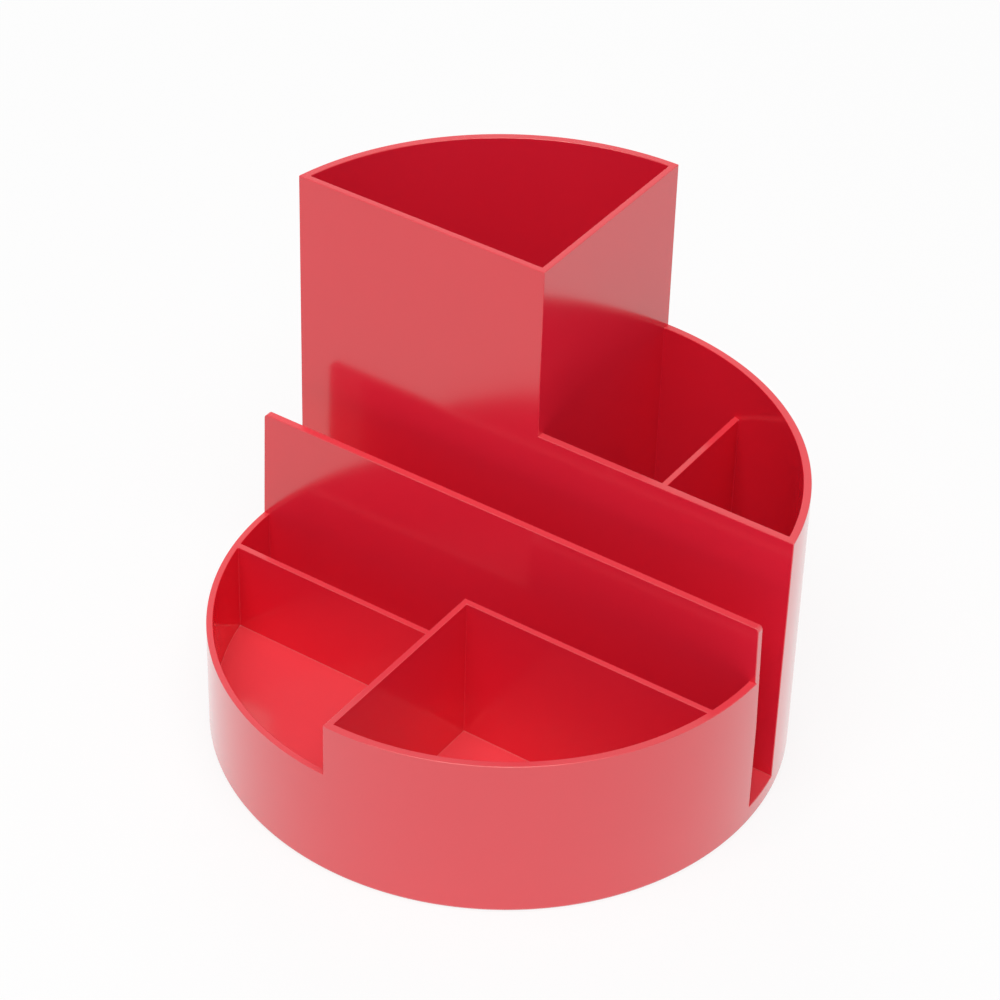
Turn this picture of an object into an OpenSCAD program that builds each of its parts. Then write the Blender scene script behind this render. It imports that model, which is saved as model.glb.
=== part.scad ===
// Round desk pen holder: a drum of open pockets whose rims step down from the tall pen cup
// at the rear left, round through the rear bins and the front bin, to the low clip tray.
// A straight slot for paper notes cuts across the drum.
// +Z is up, the drum's axis is Z and it stands on z = 0. The slot runs along X, the clip
// tray and the front bin face -Y, and the pen cup is at -X, +Y.

/* [Drum] */
// Outer diameter of the drum
drum_d = 140; // [120:1:180]
// Thickness of the foot ring, of the higher round walls and of the slot's front and rear walls
wall = 1.9; // [1.6:0.1:3]
// Thickness of the pen cup's flat walls, of the walls between pockets and of the low left rim
divider_t = 1.6; // [1.2:0.1:3]
// Height of the foot ring under the floor
foot_h = 3; // [2.5:0.5:6]
// Thickness of the floor
floor_t = 2; // [1.5:0.1:3]
// Rounding along the upper edges of the walls
lip_r = 0.3; // [0.2:0.1:0.6]
// Rounding of the foot ring's lower outer edge
foot_r = 1.2; // [0.5:0.1:1.5]

/* [Pen cup] */
// Height of the pen cup's rim above the table
cup_h = 120; // [90:1:150]
// Right face of the cup's side wall, along X from the drum's axis
cup_side_x = 0; // [-15:1:15]

/* [Rear bins] */
// Height of the rear bins' rim above the table
rear_h = 74.5; // [65:0.5:85]
// Height of the divider between the rear bins above the table
rear_divider_h = 60.5; // [40:0.5:62]
// Clear width of the rear bin beside the pen cup
rear_bin_w = 23.5; // [16:0.5:30]

/* [Paper slot] */
// Clear width of the paper slot
slot_w = 12.3; // [8:0.1:16]
// Rear wall of the paper slot, along Y from the drum's axis
slot_rear_y = 13; // [10:0.5:16]
// Height of the panel in front of the slot above the table
panel_h = 59.5; // [50:0.5:64]
// How far each end of the panel leans in from the drum's outline at the top
panel_lean = 0.7; // [0:0.1:2]
// Rounding of the panel's upper corners
panel_corner_r = 1.1; // [0.5:0.1:2]

/* [Front trays] */
// Height of the front bin's rim above the table
bin_h = 44; // [36:0.5:48]
// Height of the clip tray's rim above the table
tray_h = 29.5; // [20:0.5:34]
// Clear width of the long tray in front of the panel
long_tray_w = 13.4; // [8:0.1:18]
// Middle of the wall between clip tray and front bin, along X from the drum's axis
bin_side_x = 0; // [-15:1:15]

/* [Hidden] */
$fn = 96;
red = [0.78, 0.06, 0.12];
drum_r = drum_d / 2;
// Upper face of the floor, on which every upright wall stands
floor_top = foot_h + floor_t;
// Left face of the pen cup's side wall, and rear face of its front wall
cup_inner_x = cup_side_x - divider_t;
cup_pocket_y = slot_rear_y + divider_t;
// Left face of the divider between the rear bins
rear_divider_x = cup_side_x + rear_bin_w;
// Rear face of the wall behind the slot, where the rear bins start
rear_pocket_y = slot_rear_y + wall;
// Front face of the panel in front of the slot
panel_y = slot_rear_y - slot_w - wall;
// Rear and front faces of the wall that closes the long tray towards the front
tray_wall_rear_y = panel_y - long_tray_w;
tray_wall_front_y = tray_wall_rear_y - divider_t;
// Left and right faces of the wall between clip tray and front bin
bin_side_left_x = bin_side_x - divider_t / 2;
bin_side_right_x = bin_side_x + divider_t / 2;

// Section of an upright wall with both upper edges rounded
module lip_section(thickness, height) {
    square([thickness, height - lip_r]);
    translate([lip_r, 0])
        square([thickness - 2 * lip_r, height]);
    for (x = [lip_r, thickness - lip_r])
        translate([x, height - lip_r])
            circle(lip_r);
}

// Round column that walls are cut to where they reach the drum's outline
module column(radius) {
    cylinder(h = cup_h, r = radius);
}

// Flat wall along X with its front face at y_front, ended by the drum's outline
module wall_along_x(thickness, top, x_from, x_to, y_front) {
    intersection() {
        translate([x_from, y_front, floor_top])
            rotate([90, 0, 90])
                linear_extrude(x_to - x_from)
                    lip_section(thickness, top - floor_top);
        column(drum_r);
    }
}

// Flat wall along Y with its left face at x_left, ended by a round column
module wall_along_y(thickness, top, x_left, y_from, y_to, end_r) {
    intersection() {
        translate([x_left, y_to, floor_top])
            rotate([90, 0, 0])
                linear_extrude(y_to - y_from)
                    lip_section(thickness, top - floor_top);
        column(end_r);
    }
}

// Stretch of the drum's curved outer wall that lies inside the given X and Y limits
module wall_round(thickness, top, x_from, x_to, y_from, y_to) {
    intersection() {
        translate([0, 0, floor_top])
            rotate_extrude()
                translate([drum_r - thickness, 0])
                    lip_section(thickness, top - floor_top);
        translate([x_from, y_from, floor_top])
            cube([x_to - x_from, y_to - y_from, top - floor_top]);
    }
}

// Outline of the slot's front panel: ends lean in towards the top, upper corners are rounded
module panel_outline() {
    rise = panel_h - tray_h;
    foot_half = sqrt(drum_r * drum_r - panel_y * panel_y);
    top_half = foot_half - panel_lean;
    lean = atan2(panel_lean, rise);
    corner_x = top_half - panel_corner_r * (1 - sin(lean)) / cos(lean);
    corner_z = panel_h - panel_corner_r;
    side_x = corner_x + panel_corner_r * cos(lean);
    side_z = corner_z + panel_corner_r * sin(lean);
    polygon([
        [-drum_r, floor_top],
        [drum_r, floor_top],
        [drum_r, tray_h],
        [foot_half, tray_h],
        [side_x, side_z],
        [corner_x, panel_h],
        [-corner_x, panel_h],
        [-side_x, side_z],
        [-foot_half, tray_h],
        [-drum_r, tray_h]
    ]);
    for (x = [-corner_x, corner_x])
        translate([x, corner_z])
            circle(panel_corner_r);
}

module foot_ring() {
    color(red)
        rotate_extrude()
            translate([drum_r - wall, 0])
                intersection() {
                    square([wall, foot_h]);
                    union() {
                        square([wall - foot_r, foot_h]);
                        translate([0, foot_r])
                            square([wall, foot_h - foot_r]);
                        translate([wall - foot_r, foot_r])
                            circle(foot_r);
                    }
                }
}

module floor_plate() {
    color(red)
        translate([0, 0, foot_h])
            cylinder(h = floor_t, r = drum_r);
}

module pen_cup_front() {
    color(red)
        wall_along_x(divider_t, cup_h, -drum_r, cup_side_x, slot_rear_y);
}

module pen_cup_side() {
    color(red)
        wall_along_y(divider_t, cup_h, cup_inner_x, cup_pocket_y, drum_r, drum_r);
}

module pen_cup_back() {
    color(red)
        wall_round(wall, cup_h, -drum_r, cup_inner_x, cup_pocket_y, drum_r);
}

module slot_rear_panel() {
    color(red)
        wall_along_x(wall, rear_h, cup_side_x, drum_r, slot_rear_y);
}

module rear_bin_rim() {
    color(red)
        wall_round(wall, rear_h, cup_side_x, drum_r, rear_pocket_y, drum_r);
}

module rear_bin_divider() {
    color(red)
        wall_along_y(divider_t, rear_divider_h, rear_divider_x, rear_pocket_y, drum_r, drum_r - wall);
}

module slot_front_panel() {
    color(red)
        intersection() {
            wall_along_x(wall, panel_h, -drum_r, drum_r, panel_y);
            translate([0, panel_y + wall, 0])
                rotate([90, 0, 0])
                    linear_extrude(wall)
                        panel_outline();
        }
}

module long_tray_left_rim() {
    color(red)
        wall_round(divider_t, tray_h, -drum_r, 0, tray_wall_rear_y, panel_y);
}

module long_tray_right_rim() {
    color(red)
        wall_round(wall, bin_h, 0, drum_r, tray_wall_rear_y, panel_y);
}

module clip_tray_back() {
    color(red)
        wall_along_x(divider_t, tray_h, -drum_r, bin_side_left_x, tray_wall_front_y);
}

module clip_tray_rim() {
    color(red)
        wall_round(divider_t, tray_h, -drum_r, bin_side_left_x, -drum_r, tray_wall_front_y);
}

module front_bin_back() {
    color(red)
        wall_along_x(divider_t, bin_h, bin_side_right_x, drum_r, tray_wall_front_y);
}

module front_bin_side() {
    color(red)
        wall_along_y(divider_t, bin_h, bin_side_left_x, -drum_r, tray_wall_rear_y, drum_r);
}

module front_bin_rim() {
    color(red)
        wall_round(wall, bin_h, bin_side_right_x, drum_r, -drum_r, tray_wall_front_y);
}

foot_ring();
floor_plate();
pen_cup_front();
pen_cup_side();
pen_cup_back();
slot_rear_panel();
rear_bin_rim();
rear_bin_divider();
slot_front_panel();
long_tray_left_rim();
long_tray_right_rim();
clip_tray_back();
clip_tray_rim();
front_bin_back();
front_bin_side();
front_bin_rim();
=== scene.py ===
import bpy
import numpy as np
from mathutils import Matrix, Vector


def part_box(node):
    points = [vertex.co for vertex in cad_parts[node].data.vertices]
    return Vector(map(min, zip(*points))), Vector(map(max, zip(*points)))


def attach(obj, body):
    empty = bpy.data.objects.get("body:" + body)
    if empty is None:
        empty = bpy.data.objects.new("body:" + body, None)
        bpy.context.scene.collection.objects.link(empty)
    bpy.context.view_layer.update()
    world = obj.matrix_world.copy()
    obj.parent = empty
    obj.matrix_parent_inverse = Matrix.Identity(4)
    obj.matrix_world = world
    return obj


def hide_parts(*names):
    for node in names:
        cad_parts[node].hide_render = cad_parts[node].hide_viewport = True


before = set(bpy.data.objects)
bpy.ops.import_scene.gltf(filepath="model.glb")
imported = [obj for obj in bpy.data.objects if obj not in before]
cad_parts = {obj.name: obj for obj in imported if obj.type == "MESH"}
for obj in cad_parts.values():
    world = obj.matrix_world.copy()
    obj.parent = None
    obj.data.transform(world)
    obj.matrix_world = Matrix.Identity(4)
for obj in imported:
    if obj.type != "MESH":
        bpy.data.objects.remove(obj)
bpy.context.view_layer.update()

# Foot ring: the narrow edge that the drum stands on, moulded in one with the floor from glossy
# red plastic. Its lower outer edge is rounded all the way round, so the drum sits on a thin
# flat land just inside its outline.
drum_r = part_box("foot_ring")[1].x
foot_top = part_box("foot_ring")[1].z
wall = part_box("slot_rear_panel")[1].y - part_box("slot_rear_panel")[0].y
foot_round = 0.0012
foot_inner_round = 0.0003
seam_round = 0.00001
foot_steps = 6
turn_count = 720
plastic_red = (0.87, 0.021, 0.051, 1)
plastic_red_deep = (0.84, 0.018, 0.046, 1)
# Paler red painted on faces that look up, a painted reflection of the bright surround, and along the
# floors' fillets, a painted highlight.
painted_sheen_red = (0.80, 0.115, 0.125, 1)
flow_scale = 38
flow_detail = 2
grain_scale = 900
grain_detail = 3
even_roughness = 0.12
flow_roughness = 0.04
grain_roughness = 0.02
grain_height = 0.02
wave_height = 0.000012
plastic_ior = 1.75
mirror_tint = (1, 1, 0.88, 1)
sheen_roughness = 0.3
sheen_ior = 1.33


class Value:
    """One output of a node: sums and products of values add Math nodes to the same tree."""

    def __init__(self, tree, socket):
        self.tree = tree
        self.socket = socket

    def node(self, kind, settings, inputs, output=0):
        """Adds a node: its settings first, then a number, a colour or a value for each input."""
        made = self.tree.nodes.new(kind)
        for name, setting in settings.items():
            setattr(made, name, setting)
        for name, value in inputs.items():
            if isinstance(value, Value):
                self.tree.links.new(value.socket, made.inputs[name])
            else:
                made.inputs[name].default_value = value
        return Value(self.tree, made.outputs[output])

    def math(self, operation, first, second):
        """Adds one Math node."""
        return self.node("ShaderNodeMath", {"operation": operation}, {0: first, 1: second})

    def __add__(self, other):
        return self.math("ADD", self, other)

    def __sub__(self, other):
        return self.math("SUBTRACT", self, other)

    def __rsub__(self, other):
        return self.math("SUBTRACT", other, self)

    def __mul__(self, other):
        return self.math("MULTIPLY", self, other)

    __radd__ = __add__
    __rmul__ = __mul__


def colour_mix(share, first, second):
    """Mix node of two colours. Its sockets go by number, because all its kinds of data share names."""
    return share.node("ShaderNodeMix", {"data_type": "RGBA"}, {0: share, 6: first, 7: second}, output=2)


def moulded_red():
    """Glossy self-coloured plastic: the colour drifts a little with the flow of the melt, the gloss is
    uneven by a fine grain, the surface is very slightly wavy, and what it mirrors is a touch warm. Where
    a piece's painted sheen value is 1 the red is painted a shade paler: a painted reflection of the
    bright surround on faces that look up, and a painted highlight along the floors' fillets. Where
    "handled" is 1 it has a soft sheen."""
    material = bpy.data.materials.new("moulded_red_plastic")
    material.use_nodes = True
    tree = material.node_tree
    shader = tree.nodes["Principled BSDF"]
    place = Value(tree, tree.nodes.new("ShaderNodeTexCoord").outputs["Object"])
    flow = place.node("ShaderNodeTexNoise", {},
                      {"Vector": place, "Scale": flow_scale, "Detail": flow_detail})
    grain = place.node("ShaderNodeTexNoise", {},
                       {"Vector": place, "Scale": grain_scale, "Detail": grain_detail})
    painted_sheen = place.node("ShaderNodeAttribute", {"attribute_name": "painted_sheen"}, {}, output="Fac")
    handled = place.node("ShaderNodeAttribute", {"attribute_name": "handled"}, {}, output="Fac")
    melt = colour_mix(flow, plastic_red_deep, plastic_red)
    # Painted sheen: the red is painted paler by this mask, a painted reflection on faces that look up and
    # a painted highlight along the floors' fillets.
    colour = colour_mix(painted_sheen, melt, painted_sheen_red)
    roughness = even_roughness + flow_roughness * flow + grain_roughness * grain
    waves = place.node("ShaderNodeBump", {}, {"Strength": 1, "Distance": wave_height,
                                              "Height": flow + grain_height * grain})
    tree.links.new(colour.socket, shader.inputs["Base Color"])
    tree.links.new(roughness.socket, shader.inputs["Roughness"])
    tree.links.new(waves.socket, shader.inputs["Normal"])
    tree.links.new(handled.socket, shader.inputs["Coat Weight"])
    shader.inputs["IOR"].default_value = plastic_ior
    shader.inputs["Specular Tint"].default_value = mirror_tint
    shader.inputs["Coat Roughness"].default_value = sheen_roughness
    shader.inputs["Coat IOR"].default_value = sheen_ior
    return material


red_plastic = moulded_red()
floor_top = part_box("floor_plate")[1].z
edge_round = 0.0002
fillet = 0.0002
# Painted sheen: how far floors and rim tops are painted paler, and how steeply the painted highlight
# along a floor's fillet rises.
floor_painted_sheen = 0.48
rim_painted_sheen = 0.36
fillet_painted_highlight_slope = 3
same_place = 0.000000001


def rounded_loop(corners, radii, steps):
    """Closed outline with rounded corners, counter-clockwise: at each corner an arc tangent to
    both sides, whose normal turns evenly from one side's normal to the next one's."""
    corners = np.array(corners, float)
    radii = np.array(radii, float)[:, None]
    side = np.roll(corners, -1, 0) - corners
    after = np.stack([side[:, 1], -side[:, 0]], 1) / np.linalg.norm(side, axis=1)[:, None]
    before = np.roll(after, 1, 0)
    centre = corners - radii * (before + after) / (1 + (before * after).sum(1, keepdims=True))
    start = np.arctan2(before[:, 1], before[:, 0])
    turn = np.mod(np.arctan2(after[:, 1], after[:, 0]) - start, 2 * np.pi)
    angle = start[:, None] + turn[:, None] * np.linspace(0, 1, steps + 1)
    normals = np.stack([np.cos(angle), np.sin(angle)], -1)
    points = centre[:, None] + radii[:, None] * normals
    return points.reshape(-1, 2), normals.reshape(-1, 2)


def ring_faces(rows, columns, closed):
    """Quads of a grid of points whose columns close round, and whose rows do too if closed:
    each quad joins a point to the next ones along its column and its row."""
    row = np.arange(rows if closed else rows - 1)[:, None]
    column = np.arange(columns)[None]
    next_row = (row + 1) % rows
    next_column = (column + 1) % columns
    quads = [row * columns + column, next_row * columns + column,
             next_row * columns + next_column, row * columns + next_column]
    return np.stack(quads, -1).reshape(-1, 4)


def painted_sheen_and_handling(points, normals):
    """Masks at each point, from 0 to 1. Painted sheen, which paints the colour paler: the share of the
    normal that points up, times an amount for floors or for rims, as a painted reflection of the bright
    surround, and 1 over most of the fillet along a floor's edges, as a painted highlight. Handled: near
    the drum's outline, the share of the normal that points away from the axis."""
    radius = np.hypot(points[:, 0], points[:, 1])
    up = normals[:, 2].clip(0, 1)
    away = (points[:, :2] * normals[:, :2]).sum(1) / np.maximum(radius, fillet)
    rise = (points[:, 2] - floor_top) / fillet
    # Painted highlight along the fillet at a floor's edge, and painted reflection on faces that look up.
    fillet_painted_highlight = (fillet_painted_highlight_slope * (1 - np.abs(2 * rise - 1))).clip(0, 1) * (radius < drum_r - edge_round)
    painted_sheen = np.maximum(up * np.where(rise > 1, rim_painted_sheen, floor_painted_sheen), fillet_painted_highlight)
    handled = away.clip(0, 1) * (radius > drum_r - foot_round)
    return {"painted_sheen": painted_sheen, "handled": handled}


def closed_poles(points, normals, faces):
    """Makes points that fall together one, as at the pole of a corner that is rounded both in plan
    and in height. A face loses its doubled corners there, and goes if fewer than three are left."""
    places = np.round(points / same_place).astype(np.int64)
    kept, number = np.unique(places, axis=0, return_index=True, return_inverse=True)[1:]
    number = number.reshape(-1).tolist()
    faces = [[number[k] for k in face] for face in faces]
    faces = [[k for k, before in zip(face, face[-1:] + face[:-1]) if k != before] for face in faces]
    return points[kept], normals[kept], [face for face in faces if len(face) > 2]


def moulded_piece(node, points, normals, quads, caps=()):
    """Puts a grid of points with their own normals into a mesh that stands for a CAD node. The
    faces are turned round if the volume that they enclose comes out negative."""
    points = points.reshape(-1, 3)
    normals = normals.reshape(-1, 3)
    first, second, third, fourth = (points[quads[:, k]] for k in range(4))
    across = np.cross(second - first, third - first) + np.cross(third - first, fourth - first)
    order = 1 if (across * first).sum() > 0 else -1
    points, normals, faces = closed_poles(points, normals, [*quads.tolist(), *caps])
    mesh = bpy.data.meshes.new("moulded_" + node)
    mesh.from_pydata(points.tolist(), [], [face[::order] for face in faces])
    mesh.polygons.foreach_set("use_smooth", np.ones(len(faces), bool))
    mesh.normals_split_custom_set_from_vertices(normals.tolist())
    # Writes the painted sheen mask and the handled mask onto the mesh.
    for kind, amount in painted_sheen_and_handling(points, normals).items():
        surface_mask = mesh.attributes.new(kind, "FLOAT", "POINT")
        surface_mask.data.foreach_set("value", amount.astype(np.float32))
    mesh.materials.append(red_plastic)
    piece = bpy.data.objects.new(mesh.name, mesh)
    bpy.context.scene.collection.objects.link(piece)
    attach(piece, "root")
    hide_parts(node)


def turned(section, section_normals):
    """Section of radius and height turned about the drum's axis: a grid of equal angles by the
    points of the section."""
    angle = np.arange(turn_count)[:, None] * 2 * np.pi / turn_count
    spin = np.stack([np.cos(angle), np.sin(angle), np.ones_like(angle)], -1)
    return spin * section[:, [0, 0, 1]], spin * section_normals[:, [0, 0, 1]]


foot_section, foot_section_normals = rounded_loop(
    [(drum_r - wall, 0), (drum_r, 0), (drum_r, foot_top), (drum_r - wall, foot_top)],
    [foot_inner_round, foot_round, seam_round, seam_round], foot_steps)
foot_points, foot_normals = turned(foot_section, foot_section_normals)
moulded_piece("foot_ring", foot_points, foot_normals, ring_faces(turn_count, len(foot_section), True))

# Floor plate: the round floor that all pockets share, moulded in one with the walls. Its rim is
# part of the drum's outside, and is a free edge only at the slot's two open ends, where it is
# rounded like every other edge.
slot_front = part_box("slot_front_panel")[1].y
slot_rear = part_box("slot_rear_panel")[0].y
edge_steps = 5
least_facing = 0.000001


def floor_disc():
    """Plate turned about the axis, from the middle of its top over the rim to the middle of its
    underside. The rim's upper edge is a quarter circle, drawn in by a weight that is 1 between
    the slot's walls and 0 under all the other walls, where the rim stays a plain cylinder. A
    normal on the rim keeps a least outward share, so that none is zero."""
    angle = np.arange(turn_count)[:, None] * 2 * np.pi / turn_count
    across = drum_r * np.sin(angle)
    weight = np.clip(np.minimum(across - slot_front, slot_rear - across) / edge_round, 0, 1)
    arc = np.linspace(np.pi / 2, 0, edge_steps + 1)[None]
    ones = np.ones_like(weight)
    inner = (drum_r - wall / 2) * ones
    rim_radius = drum_r - weight * edge_round * (1 - np.cos(arc))
    rim_height = floor_top - ones * edge_round * (1 - np.sin(arc))
    rim_facing = ones * np.cos(arc) + least_facing
    radius = np.hstack([inner, rim_radius, drum_r * ones, inner])
    height = np.hstack([floor_top * ones, rim_height, foot_top * ones, foot_top * ones])
    out = np.hstack([0 * ones, rim_facing, ones, 0 * ones])
    up = np.hstack([ones, weight * np.sin(arc), 0 * ones, -ones])
    length = np.hypot(out, up)
    points = np.stack([radius * np.cos(angle), radius * np.sin(angle), height], -1)
    normals = np.stack([out * np.cos(angle), out * np.sin(angle), up], -1) / length[..., None]
    columns = points.shape[1]
    quads = ring_faces(turn_count, columns, True)
    quads = quads[quads[:, 0] % columns < columns - 1]
    top = np.arange(turn_count) * columns
    under = top + columns - 1
    middle = np.full(turn_count, turn_count * columns)
    fans = np.vstack([np.stack([np.roll(top, -1), top, middle], 1),
                      np.stack([under, np.roll(under, -1), middle + 1], 1)])
    points = np.vstack([points.reshape(-1, 3), [[0, 0, floor_top], [0, 0, foot_top]]])
    normals = np.vstack([normals.reshape(-1, 3), [[0, 0, 1], [0, 0, -1]]])
    return points, normals, quads, fans.tolist()


moulded_piece("floor_plate", *floor_disc())

# Pen cup: three tall walls, the front and right ones flat and a little thinner, the back one on
# the drum's outline. Free edges are rounded, and a small fillet runs along every inner corner,
# because a moulding tool leaves no sharp corner.
cup_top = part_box("pen_cup_front")[1].z
cup_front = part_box("pen_cup_front")[0].y
cup_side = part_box("pen_cup_side")[1].x
cup_flat_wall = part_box("pen_cup_front")[1].y - cup_front
foot_sink = 0.0001
corner_steps = 5
arc_count = 160


def corner(first, second, radius, hollow, start=0, end=1):
    """Rounded corner in plan between two sides, from its tangent point on the first side to the
    one on the second; start and end pick a share of the turn. A side is ("x" or "y", place,
    sign of the way inwards) or ("round", radius, sign of the corner's place along the other
    side). Rows hold x, y and the normal, which faces the arc's centre if hollow."""
    sides = (first, second)
    centre = {axis: place + sign * radius for axis, place, sign in sides if axis != "round"}
    for axis, place, sign in sides:
        if axis == "round":
            known, missing = ("x", "y") if "x" in centre else ("y", "x")
            centre[missing] = sign * np.sqrt((place - radius) ** 2 - centre[known] ** 2)
    outward = {"round": lambda sign: np.arctan2(centre["y"], centre["x"]),
               "x": lambda sign: np.arctan2(0, -sign),
               "y": lambda sign: np.arctan2(-sign, 0)}
    from_angle, to_angle = (outward[axis](sign) for axis, place, sign in sides)
    turn = np.mod(to_angle - from_angle + np.pi, 2 * np.pi) - np.pi
    angle = from_angle + turn * np.linspace(start, end, corner_steps + 1)
    normal = np.stack([np.cos(angle), np.sin(angle)], 1)
    point = np.array([centre["x"], centre["y"]]) + radius * normal
    return np.hstack([point, -normal if hollow else normal])


def plan_angle(row):
    """Angle about the drum's axis of a plan row's point, from 0 to a full turn."""
    return np.mod(np.arctan2(row[1], row[0]), 2 * np.pi)


def round_run(radius, start, end, hollow, count):
    """Stretch of a circle about the drum's axis in plan, between two angles; rows as in corner()."""
    angle = np.linspace(start, end, count)
    normal = np.stack([np.cos(angle), np.sin(angle)], 1)
    return np.hstack([radius * normal, -normal if hollow else normal])


def straight_run(start, end, normal, count):
    """Straight stretch in plan between two points; rows as in corner()."""
    share = np.linspace(0, 1, count)[:, None]
    point = np.array(start) + share * (np.array(end) - np.array(start))
    return np.hstack([point, np.broadcast_to(np.array(normal, float), point.shape)])


def wall_face(plan, top):
    """One face of a wall as a grid of plan rows by heights: it starts just under the floor's top,
    flares in from the floor in a quarter circle, rises straight, and rolls inwards over the rim
    in another quarter circle. The flare fades to nothing where the plan reaches the drum's
    outside."""
    place = plan[:, None, :2]
    outward = plan[:, None, 2:]
    fade = np.clip((drum_r - np.hypot(place[..., 0], place[..., 1])) / (2 * fillet), 0, 1)
    flare = np.linspace(0, np.pi / 2, corner_steps + 1)
    roll = np.linspace(0, np.pi / 2, edge_steps + 1)
    flare_out = fade * fillet * (1 - np.sin(flare))
    flare_height = floor_top + fillet * (1 - np.cos(flare))
    roll_out = 0 * fade - edge_round * (1 - np.cos(roll))
    roll_height = top - edge_round * (1 - np.sin(roll))
    offset = np.hstack([flare_out[:, :1], flare_out, roll_out])
    height = np.hstack([floor_top - foot_sink, flare_height, roll_height])
    facing = np.hstack([0, np.sin(flare), np.cos(roll)]) + least_facing
    rising = np.hstack([fade, fade * np.cos(flare), 0 * fade + np.sin(roll)])
    points = np.concatenate([place + outward * offset[..., None],
                             np.broadcast_to(height[:, None], offset.shape + (1,))], -1)
    normals = np.concatenate([outward * facing[:, None], rising[..., None]], -1)
    return points, normals / np.hypot(facing, rising)[..., None]


def moulded_wall(node, plan_one, plan_other, top):
    """Upright wall between two plan curves with as many rows: up one face, over the rim, down
    the other face, with both ends closed."""
    points_one, normals_one = wall_face(plan_one, top)
    points_other, normals_other = wall_face(plan_other, top)
    points = np.concatenate([points_one, points_other[:, ::-1]], 1)
    normals = np.concatenate([normals_one, normals_other[:, ::-1]], 1)
    rows, columns = points.shape[:2]
    level = np.arange(columns // 2 - 1)
    first_end = np.stack([level, level + 1, columns - 2 - level, columns - 1 - level], 1)
    last_end = first_end[:, ::-1] + (rows - 1) * columns
    quads = np.vstack([ring_faces(rows, columns, False), first_end, last_end])
    moulded_piece(node, points, normals, quads)


def cup_plan(flat_inset, inset, radius, hollow):
    """Plan of the cup's three walls on one face, each from the middle of one corner to the
    middle of the next: front, right side and round back. The face lies in from the outside by
    flat_inset on the flat walls and by inset on the round one."""
    front = ("y", cup_front + flat_inset, 1)
    side = ("x", cup_side - flat_inset, -1)
    left = ("round", drum_r - inset, -1)
    back = ("round", drum_r - inset, 1)
    turn_in = corner(side, back, radius, hollow, 0.5, 1)
    turn_out = corner(left, front, radius, hollow, 0, 0.5)
    bow = round_run(drum_r - inset, plan_angle(turn_in[-1]), plan_angle(turn_out[0]), hollow, arc_count)
    return {
        "pen_cup_front": np.vstack([corner(left, front, radius, hollow, 0.5, 1),
                                    corner(front, side, radius, hollow, 0, 0.5)]),
        "pen_cup_side": np.vstack([corner(front, side, radius, hollow, 0.5, 1),
                                   corner(side, back, radius, hollow, 0, 0.5)]),
        "pen_cup_back": np.vstack([turn_in[:-1], bow, turn_out[1:]])}


cup_outside = cup_plan(0, 0, edge_round, False)
cup_inside = cup_plan(cup_flat_wall, wall, fillet, True)
for cup_node in cup_outside:
    moulded_wall(cup_node, cup_outside[cup_node], cup_inside[cup_node], cup_top)

# Rear bins: a flat wall along the paper slot, a round wall on the drum's outline, and a lower flat
# divider between them. The walls run on past the cup's rounded corners, so that they meet the
# cup without a groove.
rear_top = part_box("slot_rear_panel")[1].z
divider_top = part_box("rear_bin_divider")[1].z
divider_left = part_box("rear_bin_divider")[0].x
divider_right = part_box("rear_bin_divider")[1].x
pocket_r = drum_r - wall
slot_side = ("y", slot_rear, 1)
rear_front = ("y", slot_rear + wall, 1)
cup_face = ("x", cup_side, 1)
rim_out = ("round", drum_r, 1)
rim_in = ("round", pocket_r, 1)
slot_run = straight_run((cup_side - edge_round, slot_rear), (cup_side + wall, slot_rear), (0, -1),
                        corner_steps + 1)
moulded_wall("slot_rear_panel",
             np.vstack([slot_run, corner(slot_side, rim_out, edge_round, False, 0, 0.5)]),
             np.vstack([corner(cup_face, rear_front, fillet, True),
                        corner(rear_front, rim_in, fillet, True, 0, 0.5)]), rear_top)
rear_turn_out = corner(slot_side, rim_out, edge_round, False, 0.5, 1)
rear_turn_in = corner(rear_front, rim_in, fillet, True, 0.5, 1)
rear_join = corner(rim_in, cup_face, fillet, True)
cup_turn_end = cup_outside["pen_cup_back"][corner_steps]
rear_bow_out = round_run(drum_r, plan_angle(rear_turn_out[-1]), plan_angle(cup_turn_end), False,
                         arc_count + corner_steps)
rear_bow_in = round_run(pocket_r, plan_angle(rear_turn_in[-1]), plan_angle(rear_join[0]), True, arc_count)
moulded_wall("rear_bin_rim", np.vstack([rear_turn_out[:-1], rear_bow_out]),
             np.vstack([rear_turn_in[:-1], rear_bow_in, rear_join[1:]]), rear_top)
left_bin_side = ("x", divider_left, -1)
right_bin_side = ("x", divider_right, 1)
moulded_wall("rear_bin_divider",
             np.vstack([corner(rear_front, left_bin_side, fillet, True),
                        corner(left_bin_side, rim_in, fillet, True)]),
             np.vstack([corner(rear_front, right_bin_side, fillet, True),
                        corner(right_bin_side, rim_in, fillet, True)]), divider_top)

# Slot front panel: a flat free-standing panel right across the drum, moulded on the floor. Its
# ends lean in a little above the low rims, its upper corners are rounded, and all its edges
# are eased.
panel_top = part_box("slot_front_panel")[1].z
panel_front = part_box("slot_front_panel")[0].y
tray_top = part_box("clip_tray_rim")[1].z
panel_lean = 0.0007
panel_corner = 0.0011
panel_corner_steps = 14


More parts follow.
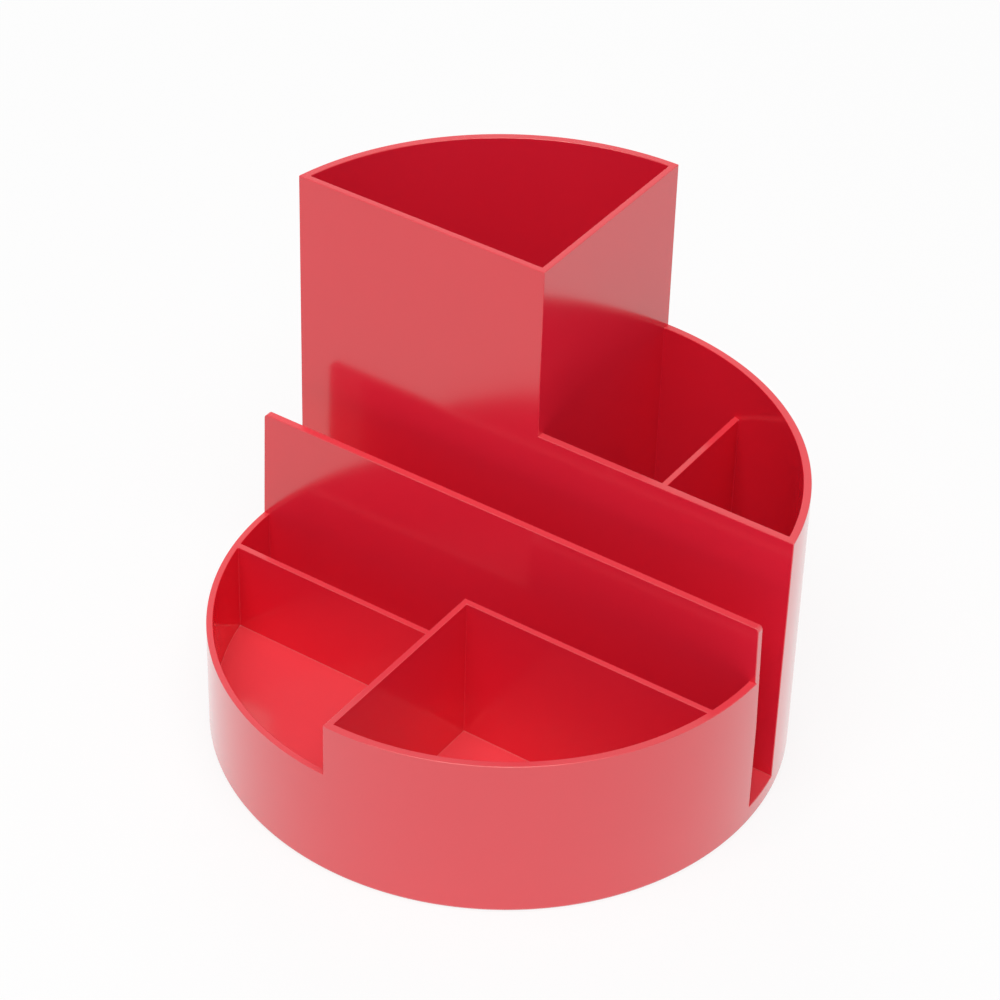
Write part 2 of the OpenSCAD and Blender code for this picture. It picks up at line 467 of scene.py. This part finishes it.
def panel_shell():
    """Rounded strip in plan raised to the panel's height. Going up, the foot flares in from the
    floor, the ends lean in evenly from the low rim, both ends draw in along a quarter circle
    below the top, and the faces roll in along a smaller one."""
    half = np.sqrt(drum_r ** 2 - panel_front ** 2)
    plan, plan_normals = rounded_loop(
        [(-half, panel_front), (half, panel_front), (half, slot_front), (-half, slot_front)],
        [edge_round] * 4, edge_steps)
    place = plan[:, None]
    outward = plan_normals[:, None]
    flare = np.linspace(0, np.pi / 2, corner_steps + 1)
    arc = np.linspace(0, np.pi / 2, panel_corner_steps + 1)
    height = np.hstack([floor_top - foot_sink, floor_top + fillet * (1 - np.cos(flare)), tray_top,
                        panel_top - panel_corner * (1 - np.sin(arc))])
    fade = np.clip((drum_r - np.hypot(place[..., 0], place[..., 1])) / (2 * fillet), 0, 1)
    flare_angle = np.arccos(np.clip(1 - (height - floor_top) / fillet, 0, 1))
    flare_out = fade * fillet * (1 - np.sin(flare_angle))
    draw_angle = np.arcsin(np.clip((height - panel_top) / panel_corner + 1, 0, 1))
    roll_angle = np.arcsin(np.clip((height - panel_top) / edge_round + 1, 0, 1))
    lean = panel_lean * np.clip((height - tray_top) / (panel_top - tray_top), 0, 1)
    end_in = lean + panel_corner * (1 - np.cos(draw_angle))
    face_in = edge_round * (1 - np.cos(roll_angle)) - flare_out
    middle = (panel_front + slot_front) / 2
    x = place[..., 0] - np.sign(place[..., 0]) * end_in
    y = middle + (place[..., 1] - middle) * (1 - face_in / (wall / 2))
    points = np.stack([x, y, np.broadcast_to(height, x.shape)], -1)
    end_share = np.abs(outward[..., 0])
    face_share = np.abs(outward[..., 1])
    face_rise = np.sin(roll_angle) + fade * np.cos(flare_angle)
    normals = np.stack([outward[..., 0] * np.cos(draw_angle),
                        outward[..., 1] * (np.cos(roll_angle) * np.sin(flare_angle) + least_facing),
                        end_share * np.sin(draw_angle) + face_share * face_rise], -1)
    normals /= np.linalg.norm(normals, axis=-1, keepdims=True)
    rows, columns = x.shape
    quads = ring_faces(rows, columns, True)
    quads = quads[quads[:, 0] % columns < columns - 1]
    around = np.arange(rows) * columns
    return points, normals, quads, [around[::-1].tolist(), (around + columns - 1).tolist()]


moulded_piece("slot_front_panel", *panel_shell())

# Low left rim: the round wall of the clip tray and of the long tray's left end, one sweep of the
# drum's outline, as thin as the trays' flat walls and named in two stretches that meet at the
# cross wall's end. It runs on past the panel's and the front bin's rounded edges.
cross_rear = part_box("clip_tray_back")[1].y
cross_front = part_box("clip_tray_back")[0].y
bin_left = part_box("front_bin_side")[0].x
low_pocket_r = drum_r - (cross_rear - cross_front)
short_arc_count = 40
panel_face = ("y", panel_front, -1)
bin_face = ("x", bin_left, -1)
low_rim_in = ("round", low_pocket_r, -1)
front_out = ("round", drum_r, -1)
rim_split = np.pi + np.arcsin(-(cross_rear + cross_front) / 2 / drum_r)
panel_end = np.arcsin(-(panel_front + edge_round) / drum_r)
left_join = corner(panel_face, low_rim_in, fillet, True)
left_bow_in = round_run(low_pocket_r, plan_angle(left_join[-1]), rim_split, True, short_arc_count)
moulded_wall("long_tray_left_rim",
             round_run(drum_r, np.pi + panel_end, rim_split, False, short_arc_count + corner_steps),
             np.vstack([left_join[:-1], left_bow_in]), tray_top)
bin_join = corner(low_rim_in, bin_face, fillet, True)
bin_edge = corner(("x", bin_left, 1), front_out, edge_round, False)
clip_bow_in = round_run(low_pocket_r, rim_split, plan_angle(bin_join[0]), True, arc_count)
moulded_wall("clip_tray_rim",
             round_run(drum_r, rim_split, plan_angle(bin_edge[-1]), False, arc_count + corner_steps),
             np.vstack([clip_bow_in, bin_join[1:]]), tray_top)

# Clip tray back: the low flat cross wall between the clip tray and the long tray. It swells into
# the round rim and the front bin with the same small fillets, flush with the rim's top.
cross_front_face = ("y", cross_front, -1)
cross_rear_face = ("y", cross_rear, 1)
cross_rear_run = straight_run((bin_left - wall, cross_rear), (bin_left + edge_round, cross_rear), (0, 1),
                              corner_steps + 1)
moulded_wall("clip_tray_back",
             np.vstack([corner(low_rim_in, cross_front_face, fillet, True),
                        corner(cross_front_face, bin_face, fillet, True)]),
             np.vstack([corner(low_rim_in, cross_rear_face, fillet, True), cross_rear_run]), tray_top)

# Front bin: two flat walls and one round wall on the drum's outline, moulded in one with the floor
# and half as high again as the clip tray. Its left corners stand free above the lower walls.
bin_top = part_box("front_bin_rim")[1].z


def bin_plan(flat_inset, inset, radius, hollow):
    """Plan of the bin's three walls on one face, each from the middle of one corner to the
    middle of the next: left side, round front and back. The insets are as in cup_plan()."""
    side = ("x", bin_left + flat_inset, 1)
    back = ("y", cross_rear - flat_inset, -1)
    front = ("round", drum_r - inset, -1)
    right = ("round", drum_r - inset, 1)
    turn_in = corner(side, front, radius, hollow, 0.5, 1)
    turn_out = corner(right, back, radius, hollow, 0, 0.5)
    bow = round_run(drum_r - inset, plan_angle(turn_in[-1]), plan_angle(turn_out[0]), hollow, arc_count)
    return {
        "front_bin_side": np.vstack([corner(back, side, radius, hollow, 0.5, 1),
                                     corner(side, front, radius, hollow, 0, 0.5)]),
        "front_bin_rim": np.vstack([turn_in[:-1], bow, turn_out[1:]]),
        "front_bin_back": np.vstack([corner(right, back, radius, hollow, 0.5, 1),
                                     corner(back, side, radius, hollow, 0, 0.5)])}


bin_outside = bin_plan(0, 0, edge_round, False)
bin_inside = bin_plan(cross_rear - cross_front, wall, fillet, True)
for bin_node in bin_outside:
    moulded_wall(bin_node, bin_outside[bin_node], bin_inside[bin_node], bin_top)

# Long tray right rim: the short round wall that closes the long tray on the right, level with the
# front bin and running on from its rounded corner to the panel.
right_start = corner(cross_rear_face, rim_in, fillet, True)
right_join = corner(rim_in, panel_face, fillet, True)
bin_turn = corner(rim_out, ("y", cross_rear, -1), edge_round, False)
right_bow_in = round_run(pocket_r, plan_angle(right_start[-1]), plan_angle(right_join[0]), True,
                         short_arc_count)
moulded_wall("long_tray_right_rim",
             round_run(drum_r, plan_angle(bin_turn[0]), 2 * np.pi - panel_end, False,
                       short_arc_count + 2 * corner_steps),
             np.vstack([right_start[:-1], right_bow_in, right_join[1:]]), bin_top)

# Studio floor: a plain pale sheet under the drum. The camera and mirror reflections see it as
# white, apart from a share that keeps the drum's shadow.
floor_half = 3.0
floor_white = (0.92, 0.92, 0.92, 1)
floor_glow = 0.85
white = (1, 1, 1, 1)
floor_mesh = bpy.data.meshes.new("studio_floor")
floor_mesh.from_pydata([(-floor_half, -floor_half, 0), (floor_half, -floor_half, 0),
                        (floor_half, floor_half, 0), (-floor_half, floor_half, 0)], [], [(0, 1, 2, 3)])
studio_floor = bpy.data.objects.new("studio_floor", floor_mesh)
bpy.context.scene.collection.objects.link(studio_floor)


def seen_directly(tree):
    """1 for rays from the camera, off a mirror or through glass, 0 for the light that the floor
    and the surroundings throw on the object."""
    path = tree.nodes.new("ShaderNodeLightPath")
    camera_ray = Value(tree, path.outputs["Is Camera Ray"])
    glossy_ray = Value(tree, path.outputs["Is Glossy Ray"])
    through_ray = Value(tree, path.outputs["Is Transmission Ray"])
    either = camera_ray.math("MAXIMUM", camera_ray, glossy_ray)
    return either.math("MAXIMUM", either, through_ray)


floor_paint = bpy.data.materials.new("studio_white")
floor_paint.use_nodes = True
floor_tree = floor_paint.node_tree
floor_tree.nodes.remove(floor_tree.nodes["Principled BSDF"])
floor_seen = seen_directly(floor_tree)
floor_matt = floor_seen.node("ShaderNodeBsdfDiffuse", {}, {"Color": floor_white})
floor_light = floor_seen.node("ShaderNodeEmission", {}, {"Color": white, "Strength": 1})
floor_mix = floor_seen.node("ShaderNodeMixShader", {},
                            {0: floor_seen * floor_glow, 1: floor_matt, 2: floor_light})
floor_tree.links.new(floor_mix.socket, floor_tree.nodes["Material Output"].inputs["Surface"])
floor_mesh.materials.append(floor_paint)

# Studio light: a weak even surround, seen as white that dims evenly towards the zenith, one wide
# soft lamp high up, a little to the front right, and a weaker one low behind on the left, which
# leaves no mirror image of itself.
zenith_level = 0.28
horizon_rise = 0.15
surround_level = 0.30
main_size = 1.2
main_place = (0.24, -0.47, 1.32)
main_power = 15.8
fill_size = 0.7
fill_place = (-0.85, 1.01, 0.48)
fill_power = 5.8
world = bpy.data.worlds.new("studio_surround")
bpy.context.scene.world = world
world.use_nodes = True
world_tree = world.node_tree
surround = world_tree.nodes["Background"]
surround.inputs["Color"].default_value = white
surround_seen = seen_directly(world_tree)
direction = Value(world_tree, world_tree.nodes.new("ShaderNodeTexCoord").outputs["Generated"])
sky_rise = direction.node("ShaderNodeSeparateXYZ", {}, {0: direction}, output="Z")
seen_level = sky_rise.node("ShaderNodeMapRange", {},
                           {"Value": sky_rise, "From Min": horizon_rise, "From Max": 1, "To Min": 1,
                            "To Max": zenith_level})
surround_strength = surround_level + (seen_level - surround_level) * surround_seen
world_tree.links.new(surround_strength.socket, surround.inputs["Strength"])


def placing(place, axes):
    """Matrix of a lamp or the camera from its place and, as columns, its right, up and back."""
    return Matrix(np.block([[axes, np.array(place)[:, None]],
                            [np.zeros((1, 3)), np.ones((1, 1))]]).tolist())


def soft_lamp(name, place, size, power):
    """Square lamp that faces the middle of the drum's foot."""
    data = bpy.data.lights.new(name, "AREA")
    data.shape = "SQUARE"
    data.size = size
    data.energy = power
    lamp = bpy.data.objects.new(name, data)
    bpy.context.scene.collection.objects.link(lamp)
    back = np.array(place) / np.linalg.norm(place)
    right = np.cross((0, 1, 0), back)
    right /= np.linalg.norm(right)
    lamp.matrix_world = placing(place, np.stack([right, np.cross(back, right), back], 1))
    return lamp


soft_lamp("main_lamp", main_place, main_size, main_power)
fill_lamp = soft_lamp("fill_lamp", fill_place, fill_size, fill_power)
fill_lamp.visible_glossy = False

# Camera: the photograph's view, from the front right and above, slightly rolled. The focal length
# is in pixels of a frame 1000 wide.
focal_pixels = 3424
frame_pixels = 1000
sensor_mm = 36
view_turn = np.radians(33.22)
view_rise = np.radians(37.445)
view_roll = np.radians(1.754)
view_distance = 0.80058
aim_height = 0.05
aim_across = -0.00126
aim_up = 0.01107
camera_data = bpy.data.cameras.new("camera")
camera_data.sensor_width = sensor_mm
camera_data.lens = focal_pixels / frame_pixels * sensor_mm
camera = bpy.data.objects.new("camera", camera_data)
bpy.context.scene.collection.objects.link(camera)
bpy.context.scene.camera = camera
view_back = np.array([np.sin(view_turn) * np.cos(view_rise), -np.cos(view_turn) * np.cos(view_rise),
                      np.sin(view_rise)])
view_right = np.array([np.cos(view_turn), np.sin(view_turn), 0])
view_up = np.cross(view_back, view_right)
aim = np.array([0, 0, aim_height]) + aim_across * view_right + aim_up * view_up
camera_right = np.cos(view_roll) * view_right + np.sin(view_roll) * view_up
camera_up = np.cos(view_roll) * view_up - np.sin(view_roll) * view_right
camera.matrix_world = placing(aim + view_distance * view_back,
                              np.stack([camera_right, camera_up, view_back], 1))

bpy.context.scene.view_settings.view_transform = "Standard"
